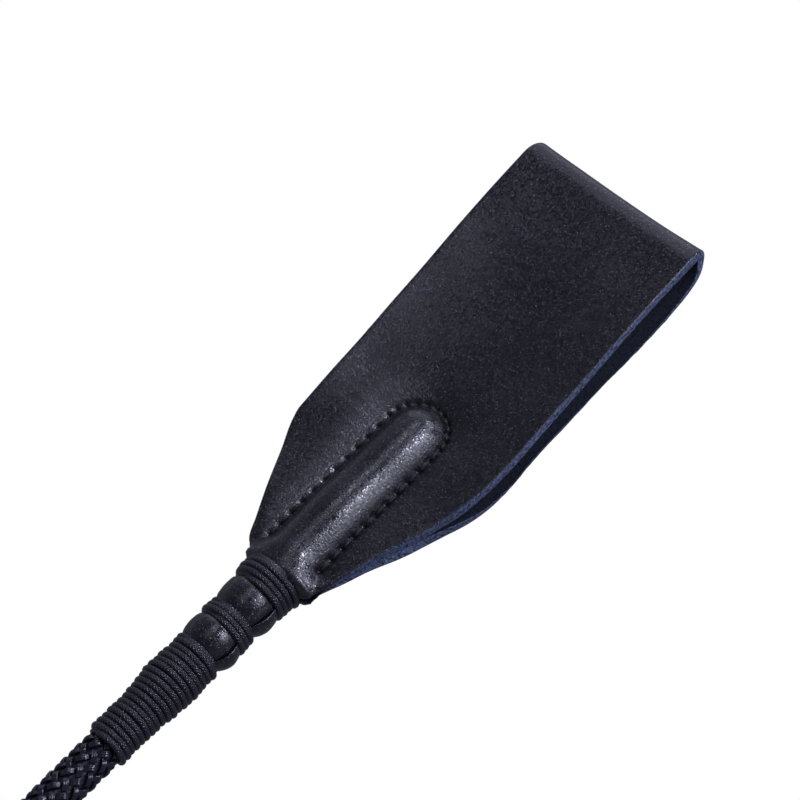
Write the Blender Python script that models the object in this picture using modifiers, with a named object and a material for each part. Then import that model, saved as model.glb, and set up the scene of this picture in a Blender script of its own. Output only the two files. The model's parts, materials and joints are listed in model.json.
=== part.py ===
"""Riding crop, a short bat with a wide folded leather keeper.

Frame: +X runs along the shaft from the butt to the keeper, +Z is up, and the
origin is the centre of the pommel's flat butt face.  Units are metres.
"""
import bpy
import bmesh
from math import copysign, cos, hypot, pi, radians, sin, tan
from mathutils import Matrix, Vector

MM = 0.001

# Driving dimensions
CROP_LENGTH = 0.4622
KEEPER_LENGTH = 0.1092          # neck to folded tip
KEEPER_WIDTH = 0.0446
LEATHER = 2.8 * MM
FIT = 0.3 * MM                  # gap kept between touching pieces
ROD_RADIUS = 2.5 * MM
CORD = 1.38 * MM                # diameter of the whipping cord, and its pitch
THREAD_RADIUS = 0.35 * MM
POMMEL_RADIUS = 13.0 * MM
GRIP_START = 0.020
GRIP_END = 0.152
STRAP_WIDTH = 10.0 * MM
STRAP_LEATHER = 2.2 * MM
STRAP_REACH = 0.150             # butt to the far end of the wrist loop

# Stations along the shaft, worked out from the driving dimensions
NECK = CROP_LENGTH - KEEPER_LENGTH
FRONT_BAND = (NECK - 0.4 * MM - 5 * CORD, NECK - 0.4 * MM)
MIDDLE_BAND = (FRONT_BAND[0] - 10.5 * MM, FRONT_BAND[0] - 5.5 * MM)
REAR_BAND = (MIDDLE_BAND[0] - 5.0 * MM - 20 * CORD, MIDDLE_BAND[0] - 5.0 * MM)
TAIL_END = REAR_BAND[1] - 9 * CORD

# Shaft braid: thick where it shows, pressed thin under the whipping and the keeper
BRAID_BORE = ROD_RADIUS + FIT
BRAID_GRIP_RADIUS = 4.6 * MM
BRAID_FRONT_RADIUS = 4.25 * MM
BRAID_PRESSED_RADIUS = 3.4 * MM
BRAID_SHOULDER = 1.0 * MM       # length over which the whipping draws the braid in
BRAID_END = NECK + 29.7 * MM
ROD_END = NECK + 38.5 * MM
TIP_CAP_END = NECK + 41.5 * MM

# Keeper: two flat layers sewn around the rod, then a loop to the folded tip
LAYER_MID = FIT / 2 + 0.05 * MM + LEATHER / 2
NECK_HALF_WIDTH = 8.7 * MM
SHOULDER_LENGTH = 29.5 * MM
RIDGE_HALF_WIDTH = 6.5 * MM
RIDGE_MID = BRAID_PRESSED_RADIUS + FIT + LEATHER / 2
RIDGE_CENTRE_END = NECK + 40.7 * MM
SEAM_HALF_WIDTH = 6.85 * MM
SEAM_START = NECK + 7.5 * MM
LEAF_END = NECK + 50.0 * MM
FLEX_GAP = 1.5 * MM
FLEX_X = LEAF_END + FLEX_GAP / 2
LOOP_PITCH = radians(10.7)
FOLD_MID_RADIUS = 3.5 * MM
LOOP_BULGE = 0.6 * MM
NECK_BLEND = 7 * MM             # length over which the tails open out flat
RIDGE_ROUNDNESS = 1.3           # exponent of the ridge's cross-section

# The tails round the shaft: middle radius and share of the full thickness where a
# band presses them and where they bulge between bands
TAIL_BAND_RADIUS = (4.05 * MM, 4.1 * MM, 4.6 * MM)
TAIL_BULGE_RADIUS = (4.9 * MM, 5.1 * MM)
TAIL_BAND_SHARE = (0.17, 0.22, 0.55)
TAIL_BULGE_SHARE = (0.5, 0.6)

# Outer radius and bore of each whipping on the tails, as (share of its length from
# the rear end, radius).  The rear one is narrow on the braid and steps up over the tails.
FRONT_BAND_OUTER = [(0, 6.7 * MM), (1, 6.95 * MM)]
FRONT_BAND_BORE = [(0, 5.8 * MM), (1, 5.8 * MM)]
MIDDLE_BAND_OUTER = [(0, 6.2 * MM), (1, 5.95 * MM)]
MIDDLE_BAND_BORE = [(0, 4.75 * MM), (1, 4.75 * MM)]
REAR_BAND_OUTER = [(0, 5.15 * MM), (0.14, 4.95 * MM), (0.34, 5.0 * MM), (0.69, 5.85 * MM),
                   (0.77, 5.83 * MM), (0.88, 5.55 * MM), (1, 5.8 * MM)]
REAR_BAND_BORE = [(0, 3.75 * MM), (0.42, 3.75 * MM), (0.52, 4.6 * MM), (1, 4.6 * MM)]

# Grip, pommel and strap
GRIP_REAR_WHIPPING = (GRIP_START + FIT, GRIP_START + FIT + 6 * CORD)
GRIP_FRONT_WHIPPING = (GRIP_END - 6 * CORD, GRIP_END + FIT)
COVER_THICKNESS = 1.4 * MM
GRIP_REAR_RADIUS = 9.4 * MM
GRIP_FRONT_RADIUS = 8.2 * MM
STRAP_TILT = radians(3.0)
STRAP_HINGE_X = -(STRAP_LEATHER + FIT / 2 + FIT)
SLIDER_X = -34.0 * MM
SLIDER_WALL = 1.8 * MM
SLIDER_WIDTH = 8.0 * MM
SLIDER_CORNER = 1.4 * MM
PARTING_X = -44.0 * MM          # where the two legs of the wrist loop part
LOOP_END_RADIUS = 24.0 * MM
RIVET_X = -10.0 * MM
RIVET_RADIUS = 1.0 * MM
RIVET_HEAD_RADIUS = 2.6 * MM
RIVET_CROWN_RADIUS = 1.8 * MM
RIVET_HEAD = 1.0 * MM
POMMEL_LENGTH = 19.0 * MM
POMMEL_NECK_RADIUS = GRIP_REAR_RADIUS + 0.4 * MM
POMMEL_ROUND = 0.8 * MM         # how far the shoulders fall short of the full radius
POMMEL_BORE_END = 13.0 * MM
ROOT_DEPTH = 10.0 * MM
ROOT_HALF_THICKNESS = STRAP_LEATHER + FIT / 2
PIN_RADIUS = 1.2 * MM
PIN_X = 6.0 * MM
NOSE_LENGTH = 12.0 * MM         # foam in front of the grip cover

COLLECTION = "riding_crop"


def clear_scene():
    for item in list(bpy.data.objects):
        bpy.data.objects.remove(item, do_unlink=True)
    for name in (COLLECTION, "cutters"):
        group = bpy.data.collections.new(name)
        bpy.context.scene.collection.children.link(group)


def material(name, colour, roughness, metallic=0.0):
    mat = bpy.data.materials.new(name)
    mat.use_nodes = True
    shader = mat.node_tree.nodes["Principled BSDF"]
    shader.inputs["Base Color"].default_value = (*colour, 1.0)
    shader.inputs["Roughness"].default_value = roughness
    shader.inputs["Metallic"].default_value = metallic
    return mat


def add_object(name, data, mat=None, collection=COLLECTION):
    item = bpy.data.objects.new(name, data)
    bpy.data.collections[collection].objects.link(item)
    if mat:
        data.materials.append(mat)
    return item


def turned(name, outline, mat, sides=32, closed=False):
    """A solid of revolution about the X axis.

    outline is a list of (x, radius).  It runs along the outer side from the
    keeper end to the butt end.  A closed outline is a ring; an open one starts
    and ends on the axis.
    """
    mesh = bpy.data.meshes.new(name)
    last = len(outline) - 1
    edges = [(i, i + 1) for i in range(last)]
    if closed:
        edges.append((last, 0))
    mesh.from_pydata([(radius, 0.0, x) for x, radius in outline], edges, [])
    item = add_object(name, mesh, mat)
    screw = item.modifiers.new("turn", "SCREW")
    screw.axis = "Z"
    screw.steps = screw.render_steps = sides
    screw.use_merge_vertices = True
    screw.merge_threshold = 0.00001
    screw.use_smooth_shade = True
    item.rotation_euler = (0.0, pi / 2, 0.0)
    return item


def sheet(name, rows, mat, thickness, weights=None, wrap=False):
    """A shell: a grid surface through rows of points, thickened about its middle.

    weights gives each row's share of the full thickness.  wrap joins the last
    row to the first, for a belt.
    """
    mesh = bpy.data.meshes.new(name)
    grid = bmesh.new()
    verts = [[grid.verts.new(point) for point in row] for row in rows]
    pairs = list(zip(verts, verts[1:]))
    if wrap:
        pairs.append((verts[-1], verts[0]))
    for row, following in pairs:
        for i in range(len(row) - 1):
            grid.faces.new((row[i], row[i + 1], following[i + 1], following[i]))
    bmesh.ops.recalc_face_normals(grid, faces=grid.faces)
    grid.to_mesh(mesh)
    grid.free()
    item = add_object(name, mesh, mat)
    shell = item.modifiers.new("thickness", "SOLIDIFY")
    shell.thickness = thickness
    shell.offset = 0.0
    shell.use_even_offset = True
    if weights:
        group = item.vertex_groups.new(name="thickness")
        columns = len(rows[0])
        for i, weight in enumerate(weights):
            group.add(range(i * columns, (i + 1) * columns), weight, "REPLACE")
        shell.vertex_group = "thickness"
    return item


def thread(name, points, mat, radius=THREAD_RADIUS):
    """A round thread with filled ends, through the given points."""
    curve = bpy.data.curves.new(name, "CURVE")
    curve.dimensions = "3D"
    curve.bevel_depth = radius
    curve.bevel_resolution = 1
    curve.use_fill_caps = True
    spline = curve.splines.new("POLY")
    spline.points.add(len(points) - 1)
    for target, point in zip(spline.points, points):
        target.co = (*point, 1.0)
    return add_object(name, curve, mat)


def cylinder_cutter(name, centre, axis, radius, length):
    mesh = bpy.data.meshes.new(name)
    shape = bmesh.new()
    bmesh.ops.create_cone(shape, cap_ends=True, segments=20, radius1=radius,
                          radius2=radius, depth=length)
    turn = Vector((0.0, 0.0, 1.0)).rotation_difference(Vector(axis)).to_matrix()
    shape.transform(Matrix.Translation(centre) @ turn.to_4x4())
    shape.to_mesh(mesh)
    shape.free()
    return as_cutter(add_object(name, mesh, collection="cutters"))


def box(name, low, high, mat=None, collection=COLLECTION):
    mesh = bpy.data.meshes.new(name)
    shape = bmesh.new()
    bmesh.ops.create_cube(shape, size=1.0)
    low, high = Vector(low), Vector(high)
    for vert in shape.verts:
        vert.co = [lo + (hi - lo) * (c + 0.5) for lo, hi, c in zip(low, high, vert.co)]
    shape.to_mesh(mesh)
    shape.free()
    return add_object(name, mesh, mat, collection)


def as_cutter(item):
    item.hide_render = True
    item.display_type = "WIRE"
    return item


def cut(item, cutter):
    boolean = item.modifiers.new(cutter.name, "BOOLEAN")
    boolean.operation = "DIFFERENCE"
    boolean.solver = "EXACT"
    boolean.object = cutter


def smooth_step(value):
    value = min(max(value, 0.0), 1.0)
    return value * value * (3 - 2 * value)


def along(stations, x):
    """Read a value at x from (x, value) stations joined by smooth steps."""
    if x <= stations[0][0]:
        return stations[0][1]
    for (x0, v0), (x1, v1) in zip(stations, stations[1:]):
        if x <= x1:
            return v0 + (v1 - v0) * smooth_step((x - x0) / (x1 - x0))
    return stations[-1][1]


# ---------------------------------------------------------------- shaft

def shaft(mats):
    turned("shaft_core", [(ROD_END, 0.0), (ROD_END, ROD_RADIUS),
                          (POMMEL_BORE_END + FIT, ROD_RADIUS),
                          (POMMEL_BORE_END + FIT, 0.0)], mats["fibreglass"], sides=20)
    turned("shaft_braid", [
        (BRAID_END, BRAID_PRESSED_RADIUS),
        (REAR_BAND[0] - FIT, BRAID_PRESSED_RADIUS),
        (REAR_BAND[0] - FIT - BRAID_SHOULDER, BRAID_FRONT_RADIUS),
        (GRIP_START + FIT, BRAID_GRIP_RADIUS),
        (GRIP_START + FIT, BRAID_BORE),
        (BRAID_END, BRAID_BORE)], mats["braid"], sides=28, closed=True)
    cap_mouth = BRAID_END + FIT
    nose = 1.2 * MM
    turned("shaft_tip_cap", [
        (TIP_CAP_END, 0.0), (TIP_CAP_END, BRAID_PRESSED_RADIUS - nose),
        (TIP_CAP_END - nose, BRAID_PRESSED_RADIUS), (cap_mouth, BRAID_PRESSED_RADIUS),
        (cap_mouth, BRAID_BORE), (ROD_END + FIT, BRAID_BORE),
        (ROD_END + FIT, 0.0)], mats["rubber"], sides=24)


def winding(name, ends, outer, bore, mats, sides=28):
    """A tight cord winding: a ring whose outside has one round per turn.

    outer and bore are (share of the length from the rear end, radius) stations.
    """
    start, end = ends
    turns = max(1, round((end - start) / CORD))
    pitch = (end - start) / turns
    outline = [(end, outer[-1][1] - CORD / 2)]
    for turn in range(turns):
        x = end - (turn + 0.5) * pitch
        radius = along(outer, (x - start) / (end - start))
        outline.append((x, radius))
        outline.append((x - pitch / 2, radius - CORD / 4))
    outline[-1] = (start, outer[0][1] - CORD / 2)
    outline += [(start + share * (end - start), radius) for share, radius in bore]
    turned(name, outline, mats["cord"], sides, closed=True)


# ---------------------------------------------------------------- keeper

def tail_stations(at_bands, at_bulges, at_leaf):
    """(x, value) along the tails, given the values at the bands and the bulges."""
    inset = 0.6 * MM
    return [
        (TAIL_END, at_bands[0]), (REAR_BAND[1] - FIT, at_bands[0]),
        ((REAR_BAND[1] + MIDDLE_BAND[0]) / 2, at_bulges[0]),
        (MIDDLE_BAND[0] + inset, at_bands[1]), (MIDDLE_BAND[1] - inset, at_bands[1]),
        ((MIDDLE_BAND[1] + FRONT_BAND[0]) / 2, at_bulges[1]),
        (FRONT_BAND[0] + inset, at_bands[2]), (FRONT_BAND[1], at_bands[2]),
        (NECK + NECK_BLEND, at_leaf)]


TAIL_MID = tail_stations(TAIL_BAND_RADIUS, TAIL_BULGE_RADIUS, RIDGE_MID)
TAIL_SHARE = tail_stations(TAIL_BAND_SHARE, TAIL_BULGE_SHARE, 1.0)
LEAF_COLUMNS = 17


def keeper_half_width(x):
    share = min(max((x - NECK) / SHOULDER_LENGTH, 0.0), 1.0)
    return NECK_HALF_WIDTH + (KEEPER_WIDTH / 2 - NECK_HALF_WIDTH) * share


def layer_height(x, y):
    """Middle height of a flat layer that is raised over the end of the shaft."""
    beyond = max(0.0, x - RIDGE_CENTRE_END)
    q = hypot(y, beyond) / RIDGE_HALF_WIDTH
    if q >= 1.0:
        return LAYER_MID
    return LAYER_MID + (RIDGE_MID - LAYER_MID) * (1 - q * q) ** RIDGE_ROUNDNESS


def leaf_point(x, t, side):
    """Point at t = -1..1 across a leaf.  side is +1 for the front, -1 for the back."""
    radius = along(TAIL_MID, x)
    edge_gap = 0.75 * FIT / radius
    angle = t * (pi / 2 - edge_gap)
    tube = Vector((x, radius * sin(angle), radius * cos(angle)))
    y = t * keeper_half_width(x)
    flat = Vector((x, y, layer_height(x, y)))
    point = tube.lerp(flat, smooth_step((x - NECK) / NECK_BLEND))
    point.z *= side
    return point


def leaf_stations():
    """Rows along a leaf: close together where its section changes."""
    tails = [TAIL_END + (NECK - TAIL_END) * i / 24 for i in range(24)]
    opened = NECK + NECK_BLEND + 1 * MM
    neck = [NECK + (opened - NECK) * i / 7 for i in range(7)]
    tongue_end = RIDGE_CENTRE_END - 1 * MM
    tongue = [opened + (tongue_end - opened) * i / 6 for i in range(6)]
    shoulder = [NECK + SHOULDER_LENGTH]
    apex = [tongue_end + (LEAF_END - tongue_end) * i / 6 for i in range(7)]
    return sorted(tails + neck + tongue + shoulder + apex)


def keeper_leaf(name, side, mats):
    stations = leaf_stations()
    middle = (LEAF_COLUMNS - 1) / 2
    # Columns are closer together over the ridge than at the edges
    shares = [copysign(abs((i - middle) / middle) ** 1.5, i - middle)
              for i in range(LEAF_COLUMNS)]
    rows = []
    for x in stations:
        flatness = smooth_step((x - NECK) / NECK_BLEND)
        row = []
        for i, share in enumerate(shares):
            even = (i - middle) / middle
            row.append(leaf_point(x, even + (share - even) * flatness, side))
        rows.append(row)
    weights = [along(TAIL_SHARE, x) for x in stations]
    sheet(name, rows, mats["leather"], LEATHER, weights)


def loop_profile():
    """Middle line of the loop in side view, front layer to tip and back."""
    start = LEAF_END + FLEX_GAP
    fold_x = CROP_LENGTH - LEATHER / 2 - FOLD_MID_RADIUS
    steps = 14
    front, back = [], []
    for i in range(steps + 1):
        share = i / steps
        x = start + (fold_x - start) * share
        half = (LAYER_MID + (FOLD_MID_RADIUS - LAYER_MID) * share
                + LOOP_BULGE * sin(pi * share ** 1.5))
        centre = loop_rise(x)
        front.append((x, centre + half))
        back.append((x, centre - half))
    fold = []
    turns = 8
    for i in range(1, turns):
        angle = pi / 2 - pi * i / turns + LOOP_PITCH
        fold.append((fold_x + FOLD_MID_RADIUS * cos(angle),
                     loop_rise(fold_x) + FOLD_MID_RADIUS * sin(angle)))
    return front + fold + back[::-1]


def loop_rise(x):
    """Height of the loop's middle: straight at first, then pitched up."""
    bend = 6 * MM
    run = x - (LEAF_END + FLEX_GAP)
    if run < bend:
        return tan(LOOP_PITCH) * run * run / (2 * bend)
    return tan(LOOP_PITCH) * (run - bend / 2)


def keeper_loop(mats):
    half = KEEPER_WIDTH / 2
    columns = (-half, -half / 2, 0.0, half / 2, half)
    rows = [[(x, y, z) for y in columns] for x, z in loop_profile()]
    sheet("keeper_loop", rows, mats["leather"], LEATHER)


def seam_points():
    """The U-shaped seam round the end of the shaft, in plan."""
    straight = 9
    arc = 12
    run = RIDGE_CENTRE_END - SEAM_START
    points = [(SEAM_START + run * i / straight, SEAM_HALF_WIDTH) for i in range(straight)]
    for i in range(arc + 1):
        angle = pi / 2 - pi * i / arc
        points.append((RIDGE_CENTRE_END + SEAM_HALF_WIDTH * cos(angle),
                       SEAM_HALF_WIDTH * sin(angle)))
    points += [(x, -y) for x, y in points[straight - 1::-1]]
    return points


def keeper_seam(name, side, mats):
    lift = LEATHER / 2 + 2 * FIT + THREAD_RADIUS
    points = []
    for x, y in seam_points():
        points.append((x, y, side * (layer_height(x, y) + lift)))
    thread(name, points, mats["thread"])


def keeper(mats):
    keeper_leaf("keeper_front_leaf", 1, mats)
    keeper_leaf("keeper_rear_leaf", -1, mats)
    keeper_loop(mats)
    keeper_seam("keeper_front_stitching", 1, mats)
    keeper_seam("keeper_rear_stitching", -1, mats)


# ---------------------------------------------------------------- grip

def grip_radius(x):
    """Outer radius of the grip cover: a long taper, swelling towards the butt."""
    share = (x - GRIP_START) / (GRIP_END - GRIP_START)
    return GRIP_REAR_RADIUS + (GRIP_FRONT_RADIUS - GRIP_REAR_RADIUS) * share ** 0.8


def grip(mats):
    cover_start = GRIP_START + FIT
    stations = [GRIP_END - (GRIP_END - cover_start) * i / 8 for i in range(9)]
    outer = [(x, grip_radius(max(x, GRIP_START))) for x in stations]
    inner = [(x, radius - COVER_THICKNESS) for x, radius in reversed(outer)]
    turned("grip_cover", outer + inner, mats["grip_leather"], sides=32, closed=True)
    bore = BRAID_GRIP_RADIUS + FIT
    core = [(x, radius - COVER_THICKNESS - FIT) for x, radius in outer]
    nose_end = GRIP_END + NOSE_LENGTH
    nose_wall = 0.5 * MM
    turned("grip_core", [(nose_end, bore + nose_wall)] + core
           + [(cover_start, bore), (nose_end, bore)], mats["foam"], sides=28, closed=True)
    seam_start, seam_end = GRIP_REAR_WHIPPING[1] + CORD, GRIP_FRONT_WHIPPING[0] - CORD
    count = 12
    points = []
    for i in range(count + 1):
        x = seam_start + (seam_end - seam_start) * i / count
        points.append((x, 0.0, -(grip_radius(x) + FIT + THREAD_RADIUS)))
    thread("grip_seam_thread", points, mats["thread"])


def grip_windings(mats):
    clear = FIT + 0.15 * MM

    def over_cover(name, ends):
        rear, front = grip_radius(max(ends[0], GRIP_START)), grip_radius(min(ends[1], GRIP_END))
        winding(name, ends, [(0, rear + clear + CORD), (1, front + clear + CORD)],
                [(0, rear + clear), (1, front + clear)], mats)

    over_cover("grip_rear_whipping", GRIP_REAR_WHIPPING)
    over_cover("grip_front_whipping", GRIP_FRONT_WHIPPING)
    taper = (GRIP_END + 2 * FIT, GRIP_END + 2 * FIT + 9 * CORD)
    rear_bore = GRIP_FRONT_RADIUS - COVER_THICKNESS + FIT
    front_bore = BRAID_GRIP_RADIUS + 2 * FIT + 0.5 * MM
    winding("grip_nose_whipping", taper,
            [(0, rear_bore + 1.3 * CORD), (1, front_bore + CORD)],
            [(0, rear_bore), (1, front_bore)], mats)


def pommel(mats):
    rim = 1.5 * MM
    face_radius = POMMEL_RADIUS - 2.4 * MM
    widest_from, widest_to = 4.0 * MM, POMMEL_LENGTH - 10.5 * MM
    shoulder = POMMEL_LENGTH - 8 * MM
    neck_from = POMMEL_LENGTH - 5 * MM
    bore = ROD_RADIUS + FIT
    return turned("pommel", [
        (POMMEL_BORE_END, 0.0), (POMMEL_BORE_END, bore),
        (POMMEL_LENGTH, bore), (POMMEL_LENGTH, POMMEL_NECK_RADIUS),
        (neck_from, POMMEL_NECK_RADIUS), (shoulder, POMMEL_RADIUS - POMMEL_ROUND),
        (widest_to, POMMEL_RADIUS), (widest_from, POMMEL_RADIUS),
        (rim, POMMEL_RADIUS - POMMEL_ROUND), (0.0, face_radius),
        (0.0, 0.0)], mats["rubber"], sides=40)


def strap_anchor(item, mats):
    """The slot in the pommel, the strap's root in it, and the pin across them."""
    half_width = STRAP_WIDTH / 2
    slot = box("slot_cutter",
               (-1 * MM, -ROOT_HALF_THICKNESS - FIT, -half_width - FIT),
               (ROOT_DEPTH + 1 * MM, ROOT_HALF_THICKNESS + FIT, half_width + FIT),
               collection="cutters")
    cut(item, as_cutter(slot))
    pin_hole = cylinder_cutter("pin_hole_cutter", (PIN_X, 0, 0), (0, 0, 1),
                               PIN_RADIUS + FIT, 2.5 * POMMEL_RADIUS)
    cut(item, pin_hole)
    root = box("strap_root", (FIT, -ROOT_HALF_THICKNESS, -half_width),
               (ROOT_DEPTH, ROOT_HALF_THICKNESS, half_width), mats["strap_leather"])
    cut(root, pin_hole)
    pin_half = POMMEL_RADIUS - 0.6 * MM
    mesh = bpy.data.meshes.new("pommel_pin")
    shape = bmesh.new()
    bmesh.ops.create_cone(shape, cap_ends=True, segments=20, radius1=PIN_RADIUS,
                          radius2=PIN_RADIUS, depth=2 * pin_half)
    shape.to_mesh(mesh)
    shape.free()
    add_object("pommel_pin", mesh, mats["steel"]).location = (PIN_X, 0, 0)


# ---------------------------------------------------------------- wrist strap

def strap_outline():
    """Middle line of the wrist loop in its own plane, from the hinge along -X.

    Two legs lie side by side, part in a smooth curve and meet in a round end.
    """
    leg = (STRAP_LEATHER + FIT) / 2
    centre_x = -(STRAP_REACH + STRAP_HINGE_X - LOOP_END_RADIUS - STRAP_LEATHER / 2)
    first = -4.0 * MM
    straight = 4
    upper = [(first + (PARTING_X - first) * i / (straight - 1), leg)
             for i in range(straight)]
    steps = 9
    for i in range(1, steps):
        share = i / steps
        upper.append((PARTING_X + (centre_x - PARTING_X) * share,
                      leg + (LOOP_END_RADIUS - leg) * smooth_step(share)))
    arc = 12
    for i in range(arc // 2 + 1):
        angle = pi / 2 + pi * i / arc
        upper.append((centre_x + LOOP_END_RADIUS * cos(angle),
                      LOOP_END_RADIUS * sin(angle)))
    lower = [(x, -y) for x, y in upper[-2::-1]]
    turn = [(leg * cos(a), leg * sin(a)) for a in (-pi / 2, -pi / 4, 0.0, pi / 4, pi / 2)]
    return upper + lower + turn


def strap_frame():
    """Empty on the strap's hinge; its Z axis is the hinge axis."""
    empty = bpy.data.objects.new("strap_hinge", None)
    bpy.data.collections[COLLECTION].objects.link(empty)
    empty.location = (STRAP_HINGE_X, 0.0, 0.0)
    empty.rotation_euler = (0.0, -STRAP_TILT, 0.0)
    return empty


def wrist_strap(mats):
    hinge = strap_frame()
    half = STRAP_WIDTH / 2
    rows = [[(x, y, z) for z in (-half, half)] for x, y in strap_outline()]
    strap = sheet("wrist_strap", rows, mats["strap_leather"], STRAP_LEATHER, wrap=True)
    hole = cylinder_cutter("rivet_hole_cutter", (RIVET_X, 0, 0), (0, 1, 0),
                           RIVET_RADIUS + FIT, 4 * STRAP_LEATHER)
    cut(strap, hole)
    under = STRAP_LEATHER + FIT / 2 + FIT
    top = under + RIVET_HEAD
    edge = under + 0.4 * RIVET_HEAD
    rivet = turned("strap_rivet", [
        (top, 0.0), (top, RIVET_CROWN_RADIUS), (edge, RIVET_HEAD_RADIUS),
        (under, RIVET_HEAD_RADIUS), (under, RIVET_RADIUS), (-under, RIVET_RADIUS),
        (-under, RIVET_HEAD_RADIUS), (-edge, RIVET_HEAD_RADIUS),
        (-top, RIVET_CROWN_RADIUS), (-top, 0.0)], mats["steel"], sides=20)
    rivet.rotation_euler = (pi / 2, 0.0, 0.0)
    rivet.location = (RIVET_X, 0.0, 0.0)
    slider = strap_slider(mats)
    for child in (strap, hole, rivet, slider):
        child.parent = hinge


def strap_slider(mats):
    """A leather band round both legs of the strap; it slides along them."""
    half_y = STRAP_LEATHER + FIT / 2 + FIT + SLIDER_WALL / 2
    half_z = STRAP_WIDTH / 2 + FIT + SLIDER_WALL / 2
    ring = []
    for quarter in range(4):
        sign_y = 1 if quarter in (0, 3) else -1
        sign_z = 1 if quarter in (0, 1) else -1
        for i in range(4):
            angle = pi / 2 * (quarter + i / 3)
            ring.append((sign_y * (half_y - SLIDER_CORNER) + SLIDER_CORNER * cos(angle),
                         sign_z * (half_z - SLIDER_CORNER) + SLIDER_CORNER * sin(angle)))
    rows = [[(x, y, z) for x in (-SLIDER_WIDTH / 2, SLIDER_WIDTH / 2)] for y, z in ring]
    slider = sheet("strap_slider", rows, mats["strap_leather"], SLIDER_WALL, wrap=True)
    slider.location = (SLIDER_X, 0.0, 0.0)
    return slider


# ---------------------------------------------------------------- assembly

def make_materials():
    black = (0.012, 0.012, 0.016)
    return {
        "leather": material("keeper_leather", (0.018, 0.018, 0.024), 0.45),
        "grip_leather": material("grip_leather", (0.016, 0.016, 0.018), 0.5),
        "strap_leather": material("strap_leather", (0.016, 0.016, 0.018), 0.5),
        "braid": material("braid_nylon", black, 0.3),
        "cord": material("whipping_cord", black, 0.6),
        "thread": material("sewing_thread", (0.006, 0.006, 0.008), 0.6),
        "fibreglass": material("fibreglass", (0.55, 0.52, 0.42), 0.4),
        "foam": material("grip_foam", (0.05, 0.05, 0.05), 0.9),
        "rubber": material("moulded_rubber", (0.015, 0.015, 0.015), 0.7),
        "steel": material("nickel_steel", (0.55, 0.55, 0.57), 0.25, metallic=1.0)}


def main():
    clear_scene()
    mats = make_materials()
    shaft(mats)
    winding("whipping_front", FRONT_BAND, FRONT_BAND_OUTER, FRONT_BAND_BORE, mats)
    winding("whipping_middle", MIDDLE_BAND, MIDDLE_BAND_OUTER, MIDDLE_BAND_BORE, mats)
    winding("whipping_rear", REAR_BAND, REAR_BAND_OUTER, REAR_BAND_BORE, mats)
    keeper(mats)
    grip(mats)
    grip_windings(mats)
    strap_anchor(pommel(mats), mats)
    wrist_strap(mats)


main()
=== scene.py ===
"""Looks of the riding crop: leather, whippings, braid, seams, floor, lights and camera.

Everything is in metres in the CAD frame: +X runs from the butt to the keeper, +Z is up.
Shapes are built as rings of points joined into surfaces, each with a UV map in metres.
"""
import json
from math import cos, pi, radians, sin

import bpy
import numpy as np
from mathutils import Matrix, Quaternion, Vector


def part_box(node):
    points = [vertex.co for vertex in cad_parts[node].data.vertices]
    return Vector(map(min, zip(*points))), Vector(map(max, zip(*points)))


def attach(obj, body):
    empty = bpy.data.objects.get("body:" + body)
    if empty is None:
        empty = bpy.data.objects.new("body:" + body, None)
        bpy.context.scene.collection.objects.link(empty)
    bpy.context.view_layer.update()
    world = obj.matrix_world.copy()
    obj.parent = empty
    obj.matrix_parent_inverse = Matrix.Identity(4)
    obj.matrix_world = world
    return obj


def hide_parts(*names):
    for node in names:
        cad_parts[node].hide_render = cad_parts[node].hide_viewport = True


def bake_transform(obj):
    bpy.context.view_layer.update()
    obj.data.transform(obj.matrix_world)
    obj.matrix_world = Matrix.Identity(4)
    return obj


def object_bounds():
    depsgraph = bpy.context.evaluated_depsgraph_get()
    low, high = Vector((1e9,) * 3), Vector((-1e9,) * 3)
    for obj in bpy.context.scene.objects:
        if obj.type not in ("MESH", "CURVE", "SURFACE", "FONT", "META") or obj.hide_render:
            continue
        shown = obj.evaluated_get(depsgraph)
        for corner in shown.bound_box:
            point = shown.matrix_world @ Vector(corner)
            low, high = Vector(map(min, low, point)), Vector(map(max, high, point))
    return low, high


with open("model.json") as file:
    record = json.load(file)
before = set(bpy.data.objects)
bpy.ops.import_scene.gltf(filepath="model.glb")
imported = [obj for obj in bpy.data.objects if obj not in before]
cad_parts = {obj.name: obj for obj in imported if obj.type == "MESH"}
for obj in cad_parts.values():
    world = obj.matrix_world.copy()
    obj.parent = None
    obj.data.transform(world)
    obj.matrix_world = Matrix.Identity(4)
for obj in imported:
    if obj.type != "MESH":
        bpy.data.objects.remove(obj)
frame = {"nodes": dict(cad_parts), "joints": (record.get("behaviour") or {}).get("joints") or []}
CAD_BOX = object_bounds()

MM = 0.001

BAND_TO_NECK = 0.4 * MM
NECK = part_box("whipping_front")[1].x + BAND_TO_NECK
CORD_RADIUS = 0.69 * MM
THREAD_RADIUS = 0.35 * MM


# ---------------------------------------------------------------- camera, floor and lights

VIEW_AZIMUTH = radians(-129.539)    # from +X, turning to +Y
VIEW_ELEVATION = radians(54.265)
VIEW_ROLL = radians(-10.767)
VIEW_DISTANCE = 0.6825
VIEW_AIM = Vector((NECK + 0.045942, 0.008846, 0.0))


def direction(azimuth, elevation):
    return Vector((cos(elevation) * cos(azimuth), cos(elevation) * sin(azimuth),
                   sin(elevation)))


def make_camera():
    data = bpy.data.cameras.new("camera")
    data.lens = 150.0
    data.sensor_width = 36.0
    camera = bpy.data.objects.new("camera", data)
    bpy.context.scene.collection.objects.link(camera)
    back = direction(VIEW_AZIMUTH, VIEW_ELEVATION)
    camera.location = VIEW_AIM + back * VIEW_DISTANCE
    camera.rotation_mode = "QUATERNION"
    camera.rotation_quaternion = (back.to_track_quat("Z", "Y")
                                  @ Quaternion((0.0, 0.0, 1.0), VIEW_ROLL))
    bpy.context.scene.camera = camera


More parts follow.
